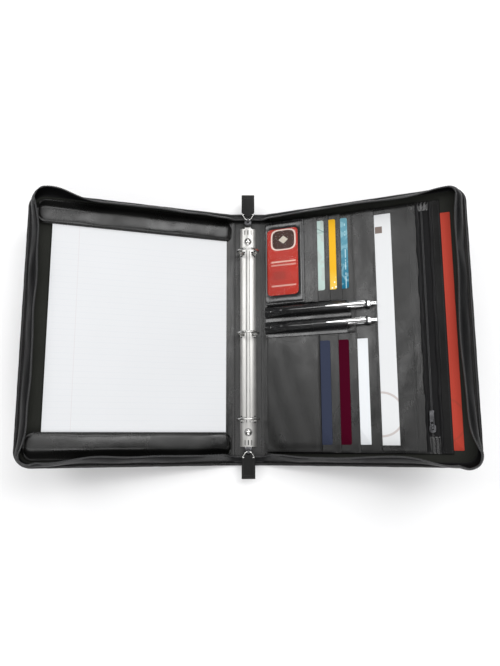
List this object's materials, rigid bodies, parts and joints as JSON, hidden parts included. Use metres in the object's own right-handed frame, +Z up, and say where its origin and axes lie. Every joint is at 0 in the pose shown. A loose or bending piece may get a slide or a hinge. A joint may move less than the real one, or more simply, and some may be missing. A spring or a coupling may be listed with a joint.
{
  "type": "portfolio case",
  "caption": "Zipped black leather portfolio with a ring binder spine, writing pad, card slots, pen sleeves and document pockets.",
  "frame": {"origin": "centre of the spine's underside", "axes": "+X across the open case towards the back cover with the organizer, +Y to the head of the case, +Z up from the surface it lies on"},
  "size_m": [0.5241, 0.3659, 0.118],
  "materials": {
    "black_leather": "fine-grained black leather with a soft sheen",
    "inner_leather": "smooth black lining leather, semi-gloss, stitched",
    "pull_leather": "black stitched leather tab",
    "board": "grey stiffening board",
    "foam": "thin foam",
    "lining_cloth": "dark olive-grey lining cloth",
    "zip_coil": "black nylon coil on woven tape",
    "black_metal": "black painted zip slider",
    "nickel": "bright nickel plate",
    "pad_board": "brown backing card",
    "pad_paper": "white ruled writing paper",
    "folder_card": "red card stock",
    "letter_paper": "white letter paper with a plain printed ring",
    "window_film": "clear film",
    "id_card_print": "red printed card",
    "green_print": "pale green printed card",
    "yellow_print": "yellow printed card",
    "blue_print": "blue shaded printed card",
    "navy_cover": "navy booklet cover",
    "maroon_cover": "maroon booklet cover",
    "ticket_paper": "white ticket wallet",
    "pen_black": "black lacquered barrel with a chrome clip"
  },
  "bodies": {
    "spine": {"spine_skin": "black_leather", "spine_board": "board", "spine_lining": "inner_leather", "hinge_folds": "black_leather", "spine_gussets": "inner_leather", "zip_slider_top": "black_metal", "zip_slider_bottom": "black_metal", "ring_housing": "nickel", "housing_rivets": "nickel"},
    "front_ring_bar": {"front_blade": "nickel", "front_half_rings": "nickel"},
    "back_ring_bar": {"back_blade": "nickel", "back_half_rings": "nickel"},
    "top_lever": {"ring_lever_top": "nickel"},
    "bottom_lever": {"ring_lever_bottom": "nickel"},
    "top_pull_loop": {"pull_loop_top": "nickel"},
    "top_pull_tab": {"pull_tab_top": "pull_leather"},
    "bottom_pull_loop": {"pull_loop_bottom": "nickel"},
    "bottom_pull_tab": {"pull_tab_bottom": "pull_leather"},
    "front_cover": {"front_skin": "black_leather", "front_foam": "foam", "front_board": "board", "front_lining": "lining_cloth", "front_piping": "black_leather", "front_gusset": "inner_leather", "front_zip": "zip_coil", "pad_panel": "inner_leather", "pad_flap_top": "inner_leather", "pad_flap_bottom": "inner_leather"},
    "writing_pad": {"pad_backing": "pad_board", "pad_sheets": "pad_paper"},
    "back_cover": {"back_skin": "black_leather", "back_foam": "foam", "back_board": "board", "back_lining": "lining_cloth", "back_piping": "black_leather", "back_gusset": "inner_leather", "back_zip": "zip_coil", "organizer_panel": "inner_leather", "pocket_zip": "zip_coil", "letter_pocket": "inner_leather", "card_slots": "inner_leather", "id_window": "window_film", "booklet_pockets": "inner_leather", "pen_sleeves": "inner_leather"},
    "folder_body": {"folder": "folder_card"},
    "pocket_slider_body": {"pocket_slider": "black_metal"},
    "pocket_pull_body": {"pocket_pull": "black_metal"},
    "letterhead_body": {"letterhead": "letter_paper"},
    "id_card_body": {"id_card": "id_card_print"},
    "green_card": {"card_green": "green_print"},
    "yellow_card": {"card_yellow": "yellow_print"},
    "blue_card": {"card_blue": "blue_print"},
    "navy_booklet": {"booklet_navy": "navy_cover"},
    "maroon_booklet": {"booklet_maroon": "maroon_cover"},
    "ticket_body": {"ticket": "ticket_paper"},
    "upper_pen": {"pen_upper": "pen_black"},
    "lower_pen": {"pen_lower": "pen_black"},
    "upper_pen_button": {"pen_button_upper": "nickel"},
    "lower_pen_button": {"pen_button_lower": "nickel"}
  },
  "joints": [
    {"name": "front_cover_hinge", "type": "hinge", "parent": "spine", "child": "front_cover", "pos_m": [-0.022, 0, 0.005], "axis": [0, 1, 0], "range_deg": [-17.5, 72.5]},
    {"name": "back_cover_hinge", "type": "hinge", "parent": "spine", "child": "back_cover", "pos_m": [0.022, 0, 0.005], "axis": [0, -1, 0], "range_deg": [-23, 67]},
    {"name": "front_ring_swing", "type": "hinge", "parent": "spine", "child": "front_ring_bar", "pos_m": [-0.009, 0, 0.00682], "axis": [0, 1, 0], "range_deg": [-20, 0]},
    {"name": "back_ring_swing", "type": "hinge", "parent": "spine", "child": "back_ring_bar", "pos_m": [0.009, 0, 0.00682], "axis": [0, 1, 0], "range_deg": [0, 20]},
    {"name": "top_lever_press", "type": "hinge", "parent": "spine", "child": "top_lever", "pos_m": [0, 0.14, 0.0085], "axis": [1, 0, 0], "range_deg": [-18, 0]},
    {"name": "bottom_lever_press", "type": "hinge", "parent": "spine", "child": "bottom_lever", "pos_m": [0, -0.14, 0.0085], "axis": [1, 0, 0], "range_deg": [0, 18]},
    {"name": "top_loop_swing", "type": "hinge", "parent": "spine", "child": "top_pull_loop", "pos_m": [0, 0.152, 0.0178], "axis": [-1, 0, 0], "range_deg": [-68, 36]},
    {"name": "top_tab_swing", "type": "hinge", "parent": "top_pull_loop", "child": "top_pull_tab", "pos_m": [0, 0.15898, 0.01829], "axis": [-1, 0, 0], "range_deg": [-50, 8]},
    {"name": "bottom_loop_swing", "type": "hinge", "parent": "spine", "child": "bottom_pull_loop", "pos_m": [0, -0.148, 0.0178], "axis": [1, 0, 0], "range_deg": [-80, 12]},
    {"name": "bottom_tab_swing", "type": "hinge", "parent": "bottom_pull_loop", "child": "bottom_pull_tab", "pos_m": [0, -0.15493, 0.01683], "axis": [1, 0, 0], "range_deg": [-50, 8]},
    {"name": "pad_slide", "type": "slide", "parent": "front_cover", "child": "writing_pad", "axis": [-0.9537, 0, 0.3007], "range_m": [0, 0.009]},
    {"name": "folder_slide", "type": "slide", "parent": "back_cover", "child": "folder_body", "axis": [0.9205, 0, 0.3907], "range_m": [0, 0.013]},
    {"name": "letterhead_slide", "type": "slide", "parent": "back_cover", "child": "letterhead_body", "axis": [0.9205, 0, 0.3907], "range_m": [0, 0.028]},
    {"name": "id_card_slide", "type": "slide", "parent": "back_cover", "child": "id_card_body", "axis": [0.9205, 0, 0.3907], "range_m": [0, 0.045]},
    {"name": "green_card_slide", "type": "slide", "parent": "back_cover", "child": "green_card", "axis": [0.9205, 0, 0.3907], "range_m": [0, 0.042]},
    {"name": "yellow_card_slide", "type": "slide", "parent": "back_cover", "child": "yellow_card", "axis": [0.9205, 0, 0.3907], "range_m": [0, 0.042]},
    {"name": "blue_card_slide", "type": "slide", "parent": "back_cover", "child": "blue_card", "axis": [0.9205, 0, 0.3907], "range_m": [0, 0.042]},
    {"name": "navy_booklet_slide", "type": "slide", "parent": "back_cover", "child": "navy_booklet", "axis": [0.9205, 0, 0.3907], "range_m": [0, 0.06]},
    {"name": "maroon_booklet_slide", "type": "slide", "parent": "back_cover", "child": "maroon_booklet", "axis": [0.9205, 0, 0.3907], "range_m": [0, 0.06]},
    {"name": "ticket_slide", "type": "slide", "parent": "back_cover", "child": "ticket_body", "axis": [0.9205, 0, 0.3907], "range_m": [0, 0.06]},
    {"name": "pocket_slider_slide", "type": "slide", "parent": "back_cover", "child": "pocket_slider_body", "axis": [0, 1, 0], "range_m": [0, 0.245]},
    {"name": "pocket_pull_flip", "type": "hinge", "parent": "pocket_slider_body", "child": "pocket_pull_body", "pos_m": [0.20681, -0.121, 0.08915], "axis": [0.9205, 0, 0.3907], "range_deg": [0, 150]},
    {"name": "upper_pen_slide", "type": "slide", "parent": "back_cover", "child": "upper_pen", "axis": [0.9205, 0, 0.3907], "range_m": [0, 0.095]},
    {"name": "lower_pen_slide", "type": "slide", "parent": "back_cover", "child": "lower_pen", "axis": [0.9205, 0, 0.3907], "range_m": [0, 0.095]},
    {"name": "upper_pen_click", "type": "slide", "parent": "upper_pen", "child": "upper_pen_button", "axis": [-0.9205, 0, -0.3907], "range_m": [0, 0.0025], "stiffness_N_per_m": 400},
    {"name": "lower_pen_click", "type": "slide", "parent": "lower_pen", "child": "lower_pen_button", "axis": [-0.9205, 0, -0.3907], "range_m": [0, 0.0025], "stiffness_N_per_m": 400}
  ],
  "couplings": [
    {"joint": "back_ring_swing", "follows": "front_ring_swing", "ratio": -1},
    {"joint": "top_lever_press", "follows": "front_ring_swing", "ratio": 0.9},
    {"joint": "bottom_lever_press", "follows": "front_ring_swing", "ratio": -0.9}
  ]
}
